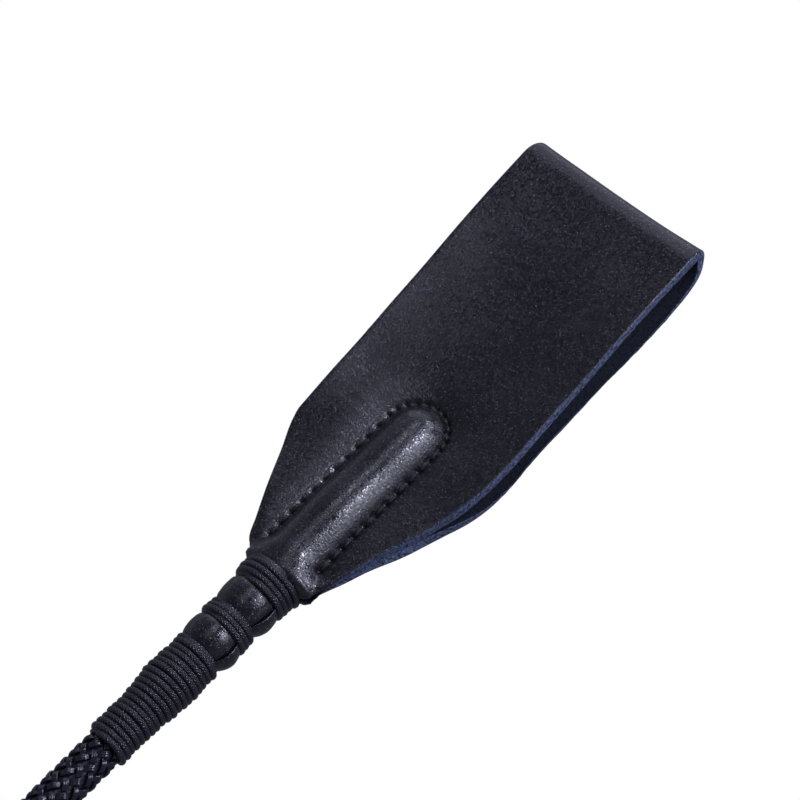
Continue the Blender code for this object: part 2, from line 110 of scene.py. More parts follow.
def area_light(name, target, towards, distance, size, power, colour):
    """A soft rectangular light, at a distance from the target in a given direction."""
    data = bpy.data.lights.new(name, "AREA")
    data.shape = "RECTANGLE"
    data.size, data.size_y = size
    data.energy = power
    data.color = colour
    lamp = bpy.data.objects.new(name, data)
    bpy.context.scene.collection.objects.link(lamp)
    towards = towards.normalized()
    lamp.location = target + towards * distance
    lamp.rotation_mode = "QUATERNION"
    lamp.rotation_quaternion = towards.to_track_quat("Z", "Y")
    lamp.visible_camera = False


DAYLIGHT = (0.765, 0.785, 1.0)
FLOOR_HALF_WIDTH = 60.0
# The floor lies this far below the crop, clear of the keeper bent all the way down
FLOOR_DROP = 9.5 * MM
# The floor's glow as light grows from near the keeper outwards in this direction
FLOOR_GLOW_DIRECTION = (0.87, 0.48)
FLOOR_GLOW = (0.24, 1.0)
WORLD_GLOW = (0.60, 0.20)       # at the horizon and high up

# Each light: direction from the object, distance, size, power
LIGHTS = {
    "key": (Vector((0.40, -0.74, 0.54)), 0.9, (0.34, 0.34), 3.0),
    "hot": (Vector((0.42, -0.57, 0.70)), 0.9, (0.11, 0.11), 3.6),
    "side": (Vector((0.84, -0.29, 0.46)), 0.9, (0.11, 0.11), 3.0),
    "top": (Vector((0.02, 0.00, 1.00)), 1.2, (0.34, 0.34), 0.9),
    "wing": (Vector((0.42, 0.02, 0.91)), 1.2, (0.26, 0.26), 2.05),
    "rim": (Vector((0.80, 0.45, 0.40)), 1.0, (0.90, 0.80), 2.6),
}


def make_lights():
    for name, (towards, distance, size, power) in LIGHTS.items():
        area_light(name, VIEW_AIM, towards, distance, size, power, DAYLIGHT)


def two_glows(tree, kind, unseen):
    """White for the camera, and a dimmer daylight glow of a given strength as light."""
    path = node(tree, "LightPath")
    seen = node(tree, kind, {"Color": (1.0, 1.0, 1.0, 1.0), "Strength": 1.0})
    lit = node(tree, kind, {"Color": (*DAYLIGHT, 1.0), "Strength": unseen})
    return node(tree, "MixShader", {0: path.outputs["Is Camera Ray"],
                                    1: lit.outputs[0], 2: seen.outputs[0]}).outputs[0]


def make_world():
    """White behind the object; dim above and brighter low down as light."""
    world = bpy.data.worlds.new("studio")
    bpy.context.scene.world = world
    world.use_nodes = True
    tree = world.node_tree
    tree.nodes.clear()
    place = node(tree, "TexCoord")
    height = node(tree, "SeparateXYZ", {"Vector": place.outputs["Generated"]})
    level = remap(tree, height.outputs["Z"], 0.0, 0.60, *WORLD_GLOW)
    out = node(tree, "OutputWorld")
    tree.links.new(two_glows(tree, "Background", level), out.inputs["Surface"])


def make_floor():
    """A very wide plain floor: an even white to the camera, and a dimmer glow as light."""
    half = FLOOR_HALF_WIDTH
    z = CAD_BOX[0].z - FLOOR_DROP
    mesh = bpy.data.meshes.new("floor")
    mesh.from_pydata([(-half, -half, z), (half, -half, z), (half, half, z), (-half, half, z)],
                     [], [(0, 1, 2, 3)])
    floor = bpy.data.objects.new("floor", mesh)
    bpy.context.scene.collection.objects.link(floor)
    mat = bpy.data.materials.new("floor_white")
    mat.use_nodes = True
    tree = mat.node_tree
    tree.nodes.clear()
    place = node(tree, "SeparateXYZ", {"Vector": node(tree, "TexCoord").outputs["Object"]})
    beyond = math(tree, "ADD",
                  math(tree, "MULTIPLY", place.outputs["X"], FLOOR_GLOW_DIRECTION[0]),
                  math(tree, "MULTIPLY", place.outputs["Y"], FLOOR_GLOW_DIRECTION[1]))
    level = remap(tree, beyond, NECK + 0.05, NECK + 0.6, *FLOOR_GLOW)
    out = node(tree, "OutputMaterial")
    tree.links.new(two_glows(tree, "Emission", level), out.inputs["Surface"])
    mesh.materials.append(mat)


# ---------------------------------------------------------------- material tools

def node(tree, kind, inputs=None, **settings):
    made = tree.nodes.new("ShaderNode" + kind)
    for name, value in settings.items():
        setattr(made, name, value)
    for name, value in (inputs or {}).items():
        fill(tree, made, name, value)
    return made


def fill(tree, made, name, value):
    """Set or link an input; the Mix node has one set of inputs for each data type."""
    if isinstance(name, int):
        socket = made.inputs[name]
    else:
        socket = [s for s in made.inputs if s.name == name and s.enabled][0]
    if isinstance(value, bpy.types.NodeSocket):
        tree.links.new(value, socket)
    else:
        socket.default_value = value


def wire(tree, shader, **links):
    """Link outputs to the shader's inputs; an underscore stands for a space."""
    for name, output in links.items():
        tree.links.new(output, shader.inputs[name.replace("_", " ")])


def new_material(name, colour, roughness, **settings):
    mat = bpy.data.materials.new(name)
    mat.use_nodes = True
    shader = mat.node_tree.nodes["Principled BSDF"]
    shader.inputs["Base Color"].default_value = (*colour, 1.0)
    shader.inputs["Roughness"].default_value = roughness
    for key, value in settings.items():
        shader.inputs[key.replace("_", " ")].default_value = value
    return mat, mat.node_tree, shader


def surface_metres(tree, stretch=(1.0, 1.0)):
    """The UV map, in metres along and across the surface, scaled by stretch."""
    uv = node(tree, "UVMap", uv_map="metres")
    return node(tree, "Mapping", {"Vector": uv.outputs["UV"],
                                  "Scale": (*stretch, 1.0)}).outputs["Vector"]


def noise(tree, vector, scale, detail=2.0, roughness=0.5):
    return node(tree, "TexNoise", {"Vector": vector, "Scale": scale, "Detail": detail,
                                   "Roughness": roughness}).outputs["Fac"]


def remap(tree, value, low, high, to_low, to_high):
    return node(tree, "MapRange", {"Value": value, "From Min": low, "From Max": high,
                                   "To Min": to_low, "To Max": to_high}).outputs["Result"]


def mix_colours(tree, factor, a, b):
    mixed = node(tree, "Mix", {"Factor": factor, "A": a, "B": b}, data_type="RGBA")
    return [s for s in mixed.outputs if s.enabled][0]


def blend_colours(tree, factor, dark, light):
    return mix_colours(tree, factor, (*dark, 1.0), (*light, 1.0))


def math(tree, operation, a, b=0.0):
    return node(tree, "Math", {0: a, 1: b}, operation=operation).outputs["Value"]


def bump(tree, height, distance, strength=1.0, normal=None):
    inputs = {"Height": height, "Distance": distance, "Strength": strength}
    if normal:
        inputs["Normal"] = normal
    return node(tree, "Bump", inputs).outputs["Normal"]


# ---------------------------------------------------------------- materials

GLINT_LIGHTNESS = 19.0          # painted glints: times the worn colour
FAINT_GLINTS = 4.0              # fainter painted glints on the grip and the strap, whose finish is paler
GLINT_SPACING = 0.42 * MM


def grain_leather(name, colour, worn, roughness, pebble=0.44 * MM, depth=0.034 * MM,
                  glint_lightness=GLINT_LIGHTNESS):
    """Finished leather: rounded pebbles that glint unevenly, soft broad creases, and pale specks
    painted on as glints.
    """
    mat, tree, shader = new_material(name, colour, roughness, IOR=1.45)
    metres = surface_metres(tree)
    wander = node(tree, "TexNoise", {"Vector": metres, "Scale": 0.5 / pebble, "Detail": 2.0})
    drift = node(tree, "VectorMath", {0: wander.outputs["Color"], "Scale": 0.5 * pebble},
                 operation="SCALE")
    place = node(tree, "VectorMath", {0: metres, 1: drift.outputs["Vector"]},
                 operation="ADD").outputs["Vector"]
    cells = node(tree, "TexVoronoi", {"Vector": place, "Scale": 1.0 / pebble},
                 feature="F1")
    dome = math(tree, "SUBTRACT", 1.0,
                math(tree, "POWER", cells.outputs["Distance"], 2.0))
    fine = noise(tree, metres, 1.3 / pebble, 2.0)
    each = node(tree, "SeparateColor", {"Color": cells.outputs["Color"]})
    swell = remap(tree, each.outputs["Green"], 0.0, 1.0, 0.5, 1.5)
    height = math(tree, "ADD", math(tree, "MULTIPLY", dome, swell),
                  math(tree, "MULTIPLY", fine, 0.25))
    creases = noise(tree, metres, 0.06 / pebble, 4.0, 0.6)
    soft = bump(tree, creases, pebble, 0.08)
    patches = noise(tree, metres, 60.0, 3.0)
    # Broad patches where the finish is worn; then pale specks painted on the tops of the finest
    # grain as glints, standing in for tiny highlights
    finish = blend_colours(tree, remap(tree, patches, 0.35, 0.7, 0.0, 1.0), colour, worn)
    glint_cells = node(tree, "TexVoronoi", {"Vector": metres, "Scale": 1.0 / GLINT_SPACING},
                feature="F1")
    glint_pick = node(tree, "SeparateColor", {"Color": glint_cells.outputs["Color"]})
    painted_glints = math(tree, "MULTIPLY", remap(tree, glint_cells.outputs["Distance"], 0.1, 0.42, 1.0, 0.0),
                  math(tree, "POWER", glint_pick.outputs["Red"], 4.0))
    # Painted glint colour: many times lighter than the worn colour
    glint_colour = tuple(glint_lightness * c for c in worn)
    gloss = math(tree, "ADD", remap(tree, patches, 0.3, 0.7, -0.02, 0.02),
                 remap(tree, each.outputs["Red"], 0.0, 1.0, roughness - 0.14,
                       roughness + 0.22))
    wire(tree, shader, Normal=bump(tree, height, depth, 1.0, soft), Roughness=gloss,
         Base_Color=mix_colours(tree, painted_glints, finish, (*glint_colour, 1.0)))
    return mat


def flesh_leather(name, dark, light):
    """The rough back of the hide: short matted fibres."""
    mat, tree, shader = new_material(name, dark, 0.95, IOR=1.4, Specular_IOR_Level=0.15)
    metres = surface_metres(tree)
    tufts = noise(tree, metres, 1600.0, 5.0, 0.65)
    tone = remap(tree, tufts, 0.3, 0.72, 0.0, 1.0)
    wire(tree, shader, Base_Color=blend_colours(tree, tone, dark, light),
         Normal=bump(tree, tufts, 0.25 * MM))
    return mat


def cut_leather(name, dark, light):
    """A cut edge: packed fibres running along the edge, dyed unevenly."""
    mat, tree, shader = new_material(name, dark, 0.85, IOR=1.4)
    fibres = noise(tree, surface_metres(tree, (0.5, 1.0)), 2600.0, 4.0, 0.7)
    clumps = noise(tree, surface_metres(tree), 1500.0, 3.0, 0.6)
    mixed = math(tree, "ADD", math(tree, "MULTIPLY", fibres, 0.5),
                 math(tree, "MULTIPLY", clumps, 0.5))
    tone = remap(tree, mixed, 0.43, 0.60, 0.0, 1.0)
    wire(tree, shader, Base_Color=blend_colours(tree, tone, dark, light),
         Normal=bump(tree, mixed, 0.5 * MM))
    return mat


def laid_thread(name, colour, light, roughness, lay, depth):
    """Cord or thread whose plies cross at a slant, with painted shade in the grooves between
    them; lay is (along, around) in metres.
    """
    mat, tree, shader = new_material(name, colour, roughness, IOR=1.5)
    parts = node(tree, "SeparateXYZ", {"Vector": surface_metres(tree)})
    run = math(tree, "DIVIDE", parts.outputs["X"], lay[0] / (2 * pi))
    turn = math(tree, "DIVIDE", parts.outputs["Y"], lay[1] / (2 * pi))
    one = math(tree, "SINE", math(tree, "ADD", run, turn))
    other = math(tree, "SINE", math(tree, "SUBTRACT", run, turn))
    plies = math(tree, "MINIMUM", math(tree, "ABSOLUTE", one), math(tree, "ABSOLUTE", other))
    fuzz = noise(tree, surface_metres(tree), 3500.0, 3.0, 0.7)
    height = math(tree, "ADD", plies, math(tree, "MULTIPLY", fuzz, 0.4))
    # Painted shade: the colour is lighter on the crests of the plies and darker into the grooves
    # between them
    tone = remap(tree, height, 0.4, 1.2, 0.0, 1.0)
    wire(tree, shader, Base_Color=blend_colours(tree, tone, colour, light),
         Roughness=remap(tree, fuzz, 0.3, 0.7, roughness - 0.12, roughness + 0.12),
         Normal=bump(tree, height, depth))
    return mat


def braid_filament(name, colour, light):
    """Shiny extruded filament with fine draw lines along it."""
    mat, tree, shader = new_material(name, colour, 0.22, IOR=1.46)
    lines = noise(tree, surface_metres(tree, (0.05, 1.0)), 9000.0, 2.0)
    dust = noise(tree, surface_metres(tree), 1200.0, 3.0)
    wire(tree, shader, Base_Color=blend_colours(tree, dust, colour, light),
         Roughness=remap(tree, dust, 0.3, 0.7, 0.08, 0.17),
         Normal=bump(tree, lines, 0.03 * MM, 0.8))
    return mat


def moulded(name, colour, light, roughness, grain, depth):
    """Moulded rubber, foam or resin: a fine even texture, slightly uneven in tone."""
    mat, tree, shader = new_material(name, colour, roughness, IOR=1.5)
    place = node(tree, "TexCoord").outputs["Object"]
    fine = noise(tree, place, 1.0 / grain, 3.0)
    broad = noise(tree, place, 120.0, 3.0)
    wire(tree, shader, Base_Color=blend_colours(tree, broad, colour, light),
         Roughness=remap(tree, broad, 0.3, 0.7, roughness - 0.06, roughness + 0.06),
         Normal=bump(tree, fine, depth))
    return mat


def plated_metal(name, colour, roughness):
    """Nickel plate with fine scratches."""
    mat, tree, shader = new_material(name, colour, roughness, Metallic=1.0)
    place = node(tree, "TexCoord").outputs["Object"]
    stretched = node(tree, "Mapping", {"Vector": place, "Scale": (1.0, 9.0, 1.0)})
    scratches = noise(tree, stretched.outputs["Vector"], 2500.0, 4.0, 0.7)
    wire(tree, shader, Normal=bump(tree, scratches, 0.01 * MM),
         Roughness=remap(tree, scratches, 0.3, 0.7, roughness - 0.08, roughness + 0.12))
    return mat


def make_materials():
    ink = (0.0095, 0.0095, 0.0125)
    return {
        "grain": grain_leather("keeper_grain", (0.0040, 0.0040, 0.0056),
                               (0.0074, 0.0074, 0.0096), 0.25),
        "flesh": flesh_leather("keeper_flesh", (0.002, 0.0022, 0.003),
                               (0.015, 0.019, 0.028)),
        "cut": cut_leather("keeper_cut_edge", (0.006, 0.009, 0.018), (0.108, 0.140, 0.250)),
        "grip_grain": grain_leather("grip_grain", ink, (0.014, 0.013, 0.014), 0.46,
                                    pebble=0.8 * MM, depth=0.12 * MM,
                                    glint_lightness=FAINT_GLINTS),
        "strap_grain": grain_leather("strap_grain", ink, (0.014, 0.014, 0.016), 0.42,
                                     glint_lightness=FAINT_GLINTS),
        "cord": laid_thread("whipping_cord", (0.0022, 0.0024, 0.0052),
                            (0.010, 0.0105, 0.020), 0.34, (1.5 * MM, 1.44 * MM), 0.12 * MM),
        "thread": laid_thread("sewing_thread", (0.0015, 0.0015, 0.0025), (0.006, 0.006, 0.009),
                              0.50, (0.9 * MM, 0.6 * MM), 0.07 * MM),
        "braid": braid_filament("braid_filament", (0.0045, 0.0045, 0.009),
                                (0.012, 0.012, 0.022)),
        "rubber": moulded("pommel_rubber", (0.010, 0.010, 0.011), (0.016, 0.016, 0.017),
                          0.62, 0.25 * MM, 0.03 * MM),
        "foam": moulded("grip_foam", (0.03, 0.03, 0.03), (0.06, 0.06, 0.06), 0.95,
                        0.5 * MM, 0.3 * MM),
        "fibreglass": moulded("fibreglass", (0.42, 0.38, 0.26), (0.58, 0.55, 0.42), 0.35,
                              0.3 * MM, 0.02 * MM),
        "steel": plated_metal("nickel_steel", (0.62, 0.61, 0.60), 0.24)}


# ---------------------------------------------------------------- mesh tools

def smooth(value):
    value = np.clip(value, 0.0, 1.0)
    return value * value * (3 - 2 * value)


def unit(vectors):
    return vectors / np.maximum(np.linalg.norm(vectors, axis=-1, keepdims=True), 1e-12)


def run_length(points):
    """Distance from the first point to each point, along the last but one axis."""
    steps = np.linalg.norm(np.diff(points, axis=0), axis=-1)
    return np.concatenate(([0.0], np.cumsum(steps)))


def hermite(t, start, end, leave, arrive):
    """Cubic from start to end; leave and arrive are its slopes at the two ends."""
    return (start * (2 * t**3 - 3 * t**2 + 1) + end * (3 * t**2 - 2 * t**3)
            + leave * (t**3 - 2 * t**2 + t) + arrive * (t**3 - t**2))


def curve_through(stations, spacing):
    """Sample a smooth curve through rows of numbers; the first two are its place.

    spacing gives the wanted distance between samples at a place.
    """
    stations = np.array(stations, float)
    run = run_length(stations[:, :2])
    slopes = np.gradient(stations, run, axis=0)
    samples, at = [], 0.0
    while at < run[-1]:
        i = min(np.searchsorted(run, at, "right") - 1, len(run) - 2)
        length = run[i + 1] - run[i]
        t = (at - run[i]) / length
        value = hermite(t, stations[i], stations[i + 1], length * slopes[i],
                        length * slopes[i + 1])
        samples.append(value)
        at += spacing(value)
    samples.append(stations[-1])
    return np.array(samples)


def read(stations, x):
    """Values at x on a smooth curve through (x, value) stations, with no overshoot."""
    xs, values = (np.array(part, float) for part in zip(*stations))
    secants = np.diff(values) / np.diff(xs)
    before, after = secants[:-1], secants[1:]
    same_way = before * after > 0
    inner = np.where(same_way, 2 * before * after / np.where(same_way, before + after, 1.0),
                     0.0)
    slopes = np.concatenate((secants[:1], inner, secants[-1:]))
    x = np.clip(x, xs[0], xs[-1])
    i = np.clip(np.searchsorted(xs, x, "right") - 1, 0, len(xs) - 2)
    length = xs[i + 1] - xs[i]
    t = (x - xs[i]) / length
    return hermite(t, values[i], values[i + 1], length * slopes[i], length * slopes[i + 1])


class Shape:
    """Gathers ring surfaces into one mesh."""

    def __init__(self):
        self.points, self.faces, self.uvs, self.slots, self.count = [], [], [], [], 0

    def add(self, rings, along=None, around=None, slots=0, joined=False):
        """Join rings of points.  rings is (rows, points, 3); each row is closed.

        joined also closes the last ring onto the first; otherwise both ends get
        a cap.  along and around are UV distances; slots is one material index per
        ring segment, or one for all.
        """
        rows, k, _ = rings.shape
        if along is None:
            along = run_length(rings.mean(axis=1))
        if around is None:
            middle = rings[rows // 2]
            around = run_length(np.vstack([middle, middle[:1]]))
        u = np.broadcast_to(np.reshape(along, (rows, -1)), (rows, k + 1))
        v = np.broadcast_to(around, (rows, k + 1))
        i = np.arange(rows if joined else rows - 1)[:, None]
        j = np.arange(k)[None, :]
        following = (i + 1) % rows
        base = self.count
        quads = np.stack(np.broadcast_arrays(
            base + i * k + j, base + i * k + (j + 1) % k,
            base + following * k + (j + 1) % k, base + following * k + j), axis=-1)
        last_u = np.where(following == 0, u[i, j] + (u[1, 0] - u[0, 0]), u[following, j])
        corners = np.stack([
            np.stack([u[i, j], v[i, j]], -1), np.stack([u[i, j + 1], v[i, j + 1]], -1),
            np.stack([last_u, v[following, j + 1]], -1),
            np.stack([last_u, v[following, j]], -1)], axis=2)
        self.faces += quads.reshape(-1, 4).tolist()
        self.uvs.append(corners.reshape(-1, 2))
        self.slots.append(np.broadcast_to(slots, quads.shape[:2]).reshape(-1))
        self.points.append(rings.reshape(-1, 3))
        self.count += rows * k
        if not joined:
            self.cap(rings[0], base, u[0], v[0], slots, flip=True)
            self.cap(rings[-1], base + (rows - 1) * k, u[-1], v[-1], slots, flip=False)
        return self

    def cap(self, ring, start, u, v, slots, flip):
        """Close an end with a fan of triangles to its middle."""
        k = len(ring)
        middle = self.count
        self.points.append(ring.mean(axis=0)[None, :])
        self.count += 1
        for j in range(k):
            pair = (start + j, start + (j + 1) % k)
            self.faces.append([pair[1], pair[0], middle] if flip else [*pair, middle])
        fan = np.stack([np.stack([u[:-1], v[:-1]], -1), np.stack([u[1:], v[1:]], -1),
                        np.stack([u[:-1] + MM, (v[:-1] + v[1:]) / 2], -1)], axis=1)
        self.uvs.append((fan[:, [1, 0, 2]] if flip else fan).reshape(-1, 2))
        self.slots.append(np.full(k, np.max(slots)))

    def build(self, name, mats, slot_name):
        mesh = bpy.data.meshes.new(name)
        mesh.from_pydata(np.vstack(self.points).tolist(), [], self.faces)
        for mat in mats:
            mesh.materials.append(mat)
        mesh.uv_layers.new(name="metres").data.foreach_set(
            "uv", np.vstack(self.uvs).astype(np.float32).ravel())
        mesh.polygons.foreach_set("material_index", np.concatenate(self.slots).astype(np.int32))
        mesh.polygons.foreach_set("use_smooth", np.ones(len(mesh.polygons), bool))
        mesh.update()
        piece = bpy.data.objects.new(name, mesh)
        bpy.context.scene.collection.objects.link(piece)
        return piece


def tube_rings(path, radius, sides, flatten=1.0, up=None):
    """Rings round a path.  up steers the rings; flatten squashes them along it."""
    path = np.asarray(path, float)
    tangent = unit(np.gradient(path, axis=0))
    if up is None:
        up = np.zeros_like(path)
        helper = np.array([0.0, 0.0, 1.0])
        for i, t in enumerate(tangent):
            helper = helper - t * helper.dot(t)
            helper /= max(np.linalg.norm(helper), 1e-9)
            up[i] = helper
    normal = unit(up - tangent * np.sum(up * tangent, axis=1, keepdims=True))
    side = np.cross(tangent, normal)
    angle = 2 * pi * np.arange(sides) / sides
    radius = np.broadcast_to(radius, len(path))[:, None, None]
    return path[:, None, :] + radius * (
        normal[:, None, :] * (np.cos(angle) * flatten)[None, :, None]
        + side[:, None, :] * np.sin(angle)[None, :, None])


def lathe_rings(outline, sides, axis="x"):
    """Rings round an axis, from points (distance along it, radius)."""
    angle = 2 * pi * np.arange(sides) / sides
    rings = np.array([[(x, r * cos(a), r * sin(a)) for a in angle] for x, r in outline])
    if axis == "z":
        rings = rings[:, :, [1, 2, 0]]
    if axis == "y":
        rings = rings[:, :, [2, 0, 1]]
    return rings


def round_shaft(x, radius, angle):
    """Points at a distance from the shaft's axis; the angle is from +Y towards +Z."""
    return np.stack([x, radius * np.cos(angle), radius * np.sin(angle)], axis=-1)


def rounded_rectangle(half_width, half_height, corner, steps):
    """Outline of a rectangle whose corners are arcs of a given number of points."""
    points = []
    for quarter, (sx, sy) in enumerate(((1, 1), (-1, 1), (-1, -1), (1, -1))):
        for a in pi / 2 * quarter + np.linspace(0.0, pi / 2, steps):
            points.append((sx * (half_width - corner) + corner * cos(a),
                           sy * (half_height - corner) + corner * sin(a)))
    return np.array(points)


def rounded(outline, reach, steps=3):
    """Round the inner corners of an outline by a small curve at each."""
    points = np.array(outline, float)
    made = [points[0]]
    for before, corner, after in zip(points, points[1:], points[2:]):
        entry = corner + unit(before - corner) * min(reach, np.linalg.norm(before - corner) / 2)
        leave = corner + unit(after - corner) * min(reach, np.linalg.norm(after - corner) / 2)
        for t in np.linspace(0.0, 1.0, steps + 1):
            made.append((1 - t)**2 * entry + 2 * t * (1 - t) * corner + t * t * leave)
    made.append(points[-1])
    return made


# ---------------------------------------------------------------- keeper

LEATHER = 2.8                   # this section works in mm from the neck
RIDGE_RISE = 3.5
RIDGE_HALF_WIDTH = 6.5
RIDGE_CENTRE_END = 40.7
SEAM_HALF_WIDTH = 6.85
SEAM_START = 4.5
TUBE_END, FLAT_START = -1.6, 0.2    # the tails open out from a tube to flat leather
INNER_COLUMNS, OUTER_COLUMNS = 21, 16
INNER_REACH = 8.4
FULL_HALF_WIDTH = 22.4
FOLD_X = 107
STITCH_PITCH, ARC_STITCH_PITCH = 3.42, 2.25
NIP = (1.3, 0.65)                   # how much the sides pull in at the fold, +Y and -Y
NIP_SPREAD = 2.2
REAR_RECESS = 0.7                   # how much narrower the rear layer is near the neck
TUCKED = [(64, 12, 0.5), (78, 14, 0.8)]     # front tail: from degrees, over degrees, by mm
CORNER_RADIUS = 0.35

# Half widths of the strap from the neck, on the +Y side and on the -Y side
WIDTH_LEFT = [(0, 7.4), (2.6, 9.9), (6.2, 11.4), (13.7, 15.0), (20.8, 18.2), (28, 21.4),
              (31, 22.1), (70, 22.4), (90, 22.8), (110, 23.0)]
WIDTH_RIGHT = [(0, 8.6), (5, 10.8), (11, 12.8), (18, 15.5), (26.5, 18.3), (34, 20.7),
               (40.5, 21.9), (47, 22.3), (110, 22.7)]

# Middle of the leather in side view: (x, height at the centre, height at the edges).
# The front layer runs out to the fold and the rear layer comes back from it.
PROFILE = [
    (-26, 1.6, 1.6), (-13, 1.6, 0.5), (0, 1.6, 0.5), (5, 1.6, 1.0), (14, 1.6, 1.6),
    (26, 1.6, 1.65), (34, 1.6, 2.8), (42, 1.65, 4.0), (50, 2.3, 5.15), (58, 3.6, 6.35),
    (66, 4.95, 7.5), (74, 6.5, 8.65), (82, 7.9, 9.8), (90, 9.25, 10.7), (96, 10.25, 11.2),
    (100.5, 10.9, 11.6), (104.0, 11.1, 11.8), (106.2, 10.4, 11.1), (106.9, 9.1, 9.8),
    (106.3, 7.6, 8.3), (104.4, 5.8, 6.4), (101.5, 4.1, 5.1), (97, 2.9, 4.3), (90, 1.9, 3.6),
    (82, 1.3, 3.2), (74, 1.0, 3.2), (66, 0.3, 2.6), (58, -0.5, 1.9), (50, -1.3, 1.1),
    (44, -1.6, -0.3), (36, -1.6, -1.6), (28, -1.6, -1.5), (14, -1.6, 0.6), (5, -1.6, -0.5),
    (0, -1.6, -1.2), (-13, -1.6, -1.6), (-26, -1.6, -1.6)]

# The tails round the shaft: outer radius, thickness, and half angle of each layer
TAIL_RADIUS = [(-26, 4.2), (-23.6, 4.6), (-22.7, 5.3), (-21.4, 5.75), (-19.8, 5.9),
               (-18.2, 5.75), (-17.4, 5.2), (-15.3, 4.6), (-13.2, 5.2), (-11.8, 5.9),
               (-9.6, 6.15), (-7.9, 6.1), (-7.2, 5.7), (-3.5, 5.5), (0, 5.6), (8, 6.4)]
TAIL_THICKNESS = [(-26, 0.6), (-22.8, 0.6), (-20.3, 1.5), (-17.8, 0.8), (-12.8, 0.8),
                  (-10, 1.7), (-7.3, 1.5), (-0.4, 1.6), (3, 2.4), (8, LEATHER)]
FRONT_HALF_ANGLE = [(-26, 92), (-12, 92), (-7, 92), (0, 88), (8, 88)]
REAR_HALF_ANGLE = [(-26, 106), (-12, 106), (-7, 102), (0, 90), (8, 90)]

# How much is pared off the flesh side at the edges, by distance along the strap:
# out to the fold, then on as 2 * FOLD_X - x
SKIVED = [(0, 0.4), (20, 0.5), (40, 0.9), (90, 0.9), (106, 0.5), (111, 1.6), (124, 2.3),
          (214, 2.1)]

# The rear tail stands out further on its -Y side between the bands
REAR_FLARE = [(-26, 0.0), (-23, 0.1), (-20.5, 0.6), (-17.8, 0.2), (-12.8, 0.1), (-10.5, 0.5),
              (-7.4, 0.2), (-3, 0.0), (8, 0.0)]


def seam_distance(x, y):
    """Distance in plan from the U-shaped seam's line."""
    beyond = np.maximum(x - RIDGE_CENTRE_END, 0.0)
    before = np.maximum(SEAM_START - x, 0.0)
    return np.hypot(np.abs(np.hypot(y, beyond) - SEAM_HALF_WIDTH), before)


def column_shares(width):
    """Distance from the centre line to each column of one side, centre first."""
    count = INNER_COLUMNS + OUTER_COLUMNS
    even = np.arange(count) / (count - 1)
    inner = INNER_REACH * np.arange(INNER_COLUMNS) / (INNER_COLUMNS - 1)
    share = np.arange(1, OUTER_COLUMNS + 1) / OUTER_COLUMNS
    spread = np.concatenate((inner, INNER_REACH + (width - INNER_REACH) * share))
    flat = smooth((width - 10.0) / 6.0)
    return even * width * (1 - flat) + spread * flat


def keeper_rows():
    """Rows (x, centre height, edge height) along the strap, each row's layer sign, +1 for
    the front, and the number of the row at the tip."""
    def spacing(at):
        x, centre, _ = at
        if x > 101:
            return 0.35
        if centre > 0:
            return 0.42 if x < 50 else 0.8
        return 0.6 if x < 50 else 0.9

    rows = curve_through(PROFILE, spacing)
    tip = int(np.argmax(rows[:, 0]))
    layer = np.where(np.arange(len(rows)) <= tip, 1.0, -1.0)
    return rows, layer, tip


def keeper_middle():
    """Grid of points in the middle of the leather, with each point's place in plan.

    Each row is worked out twice, laid flat and wrapped round the shaft, and the two are
    mixed where the tails open out.
    """
    rows, layer, tip = keeper_rows()
    run = run_length(rows[:, :2])
    near_tip = np.abs(run - run[tip])
    columns, plan = [], []
    for (x, centre, edge), side, fold in zip(rows, layer, near_tip):
        near_fold = np.exp(-(fold / NIP_SPREAD)**2)
        left = read(WIDTH_LEFT, x) - NIP[0] * near_fold
        right = read(WIDTH_RIGHT, x) - NIP[1] * near_fold
        if side < 0:
            right -= REAR_RECESS * (1 - smooth((x - 3) / 18))
            lift = 0.6 * np.exp(-((x - 54) / 12)**2) - 0.3 * np.exp(-((x - 90) / 16)**2)
        else:
            lift = 0.0
        y_left, y_right = column_shares(left), column_shares(right)
        y = np.concatenate((y_left[::-1], -y_right[1:]))
        share = np.concatenate((y_left[::-1] / left, y_right[1:] / right))
        even = np.linspace(1.0, -1.0, len(y))
        spread = RIDGE_HALF_WIDTH + 2.6 * (1 - smooth((x + 1) / 7))
        ridge_at = np.hypot(y, max(0.0, x - RIDGE_CENTRE_END)) / spread
        ridge = RIDGE_RISE * np.maximum(1 - ridge_at**2, 0.0)**1.05
        edge_here = edge + lift * (y < 0)
        power = 2.0 + 4.0 * (1 - smooth((x - 20) / 20))
        z = centre + (edge_here - centre) * share**power + side * ridge
        tilt = y / FULL_HALF_WIDTH
        skew = (0.075 * tilt**2 + 1.275 * tilt - 0.2) * smooth((x - 60) / 40)
        flat = np.stack([x + skew, y, z], axis=1)
        half_angle = radians(read(FRONT_HALF_ANGLE if side > 0 else REAR_HALF_ANGLE, x))
        radius = read(TAIL_RADIUS, x) - read(TAIL_THICKNESS, x) / 2
        if side < 0:
            radius = radius + read(REAR_FLARE, x) * smooth((0.2 - even) / 1.0)
        else:
            over = np.degrees(np.abs(even) * half_angle)
            tucked = sum(depth * smooth((over - start) / span)
                         for start, span, depth in TUCKED)
            radius = radius - tucked * smooth(-x / 7.0)
        angle = even * half_angle
        tube = np.stack([np.full(len(y), x), radius * np.sin(angle),
                         side * radius * np.cos(angle)], axis=1)
        mix = smooth((x + 0.9 * np.abs(even) - TUBE_END) / (FLAT_START - TUBE_END))[:, None]
        columns.append(tube + (flat - tube) * mix)
        plan.append(np.stack([np.full(len(y), x), y], axis=1))
    return np.array(columns), np.array(plan), rows[:, 0], run, layer


def ripple(run, y, seed, height, lengths):
    """A gentle seeded unevenness over the surface, as a sum of long waves."""
    waves = 14
    rng = np.random.default_rng(seed)
    total = np.zeros_like(y)
    for _ in range(waves):
        length = rng.uniform(*lengths)
        angle, phase = rng.uniform(0, 2 * pi, 2)
        total += np.sin(2 * pi / length * (run * np.cos(angle) + y * np.sin(angle)) + phase)
    return total * height / waves**0.5


